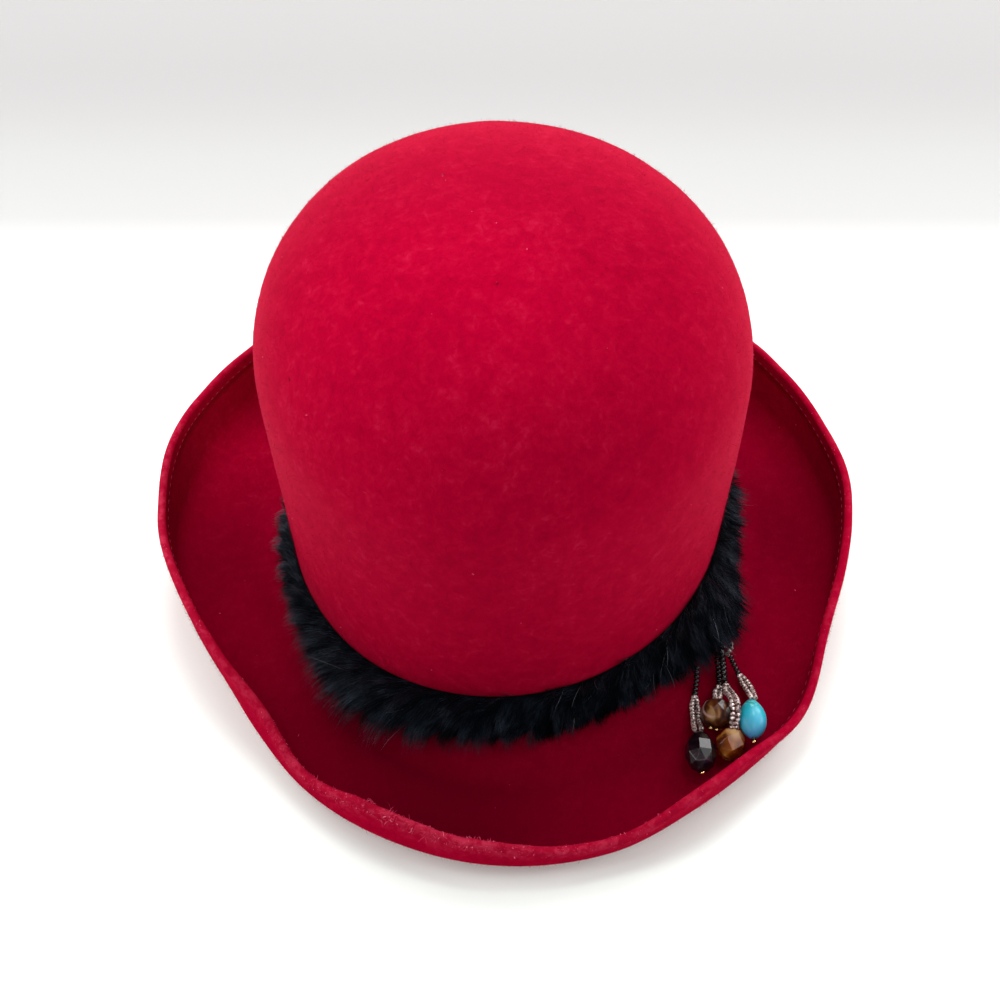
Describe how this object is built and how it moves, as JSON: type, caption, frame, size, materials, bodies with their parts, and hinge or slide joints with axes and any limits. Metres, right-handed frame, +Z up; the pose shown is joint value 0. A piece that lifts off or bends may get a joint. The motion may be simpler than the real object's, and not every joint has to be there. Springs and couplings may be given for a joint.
{
  "type": "cloche hat",
  "caption": "Wool felt cloche hat: deep domed crown, turned-up gutter brim with a stitched hem, fur strip round the foot of the crown and a beaded tassel at the front.",
  "frame": {"origin": "middle of the hat's footprint, on the surface that its brim rests on", "axes": "+Z up through the crown, +Y towards the back of the hat, +X towards the wearer's left"},
  "size_m": [0.2802, 0.2962, 0.167],
  "materials": {
    "felt": "blocked wool felt, soft nap",
    "fur": "dense black fur",
    "seed_beads": "glossy glass seed beads",
    "dark_glass": "faceted near-black glass",
    "amber_glass": "polished amber-brown glass",
    "turquoise_stone": "polished dyed stone"
  },
  "bodies": {
    "root": {"felt_body": "felt", "fur_band": "fur", "string_dark": "seed_beads", "string_amber": "seed_beads", "string_nugget": "seed_beads", "string_turquoise": "seed_beads", "string_knot": "seed_beads", "bead_dark": "dark_glass", "bead_amber_round": "amber_glass", "bead_amber_nugget": "amber_glass", "bead_turquoise": "turquoise_stone"}
  },
  "joints": []
}
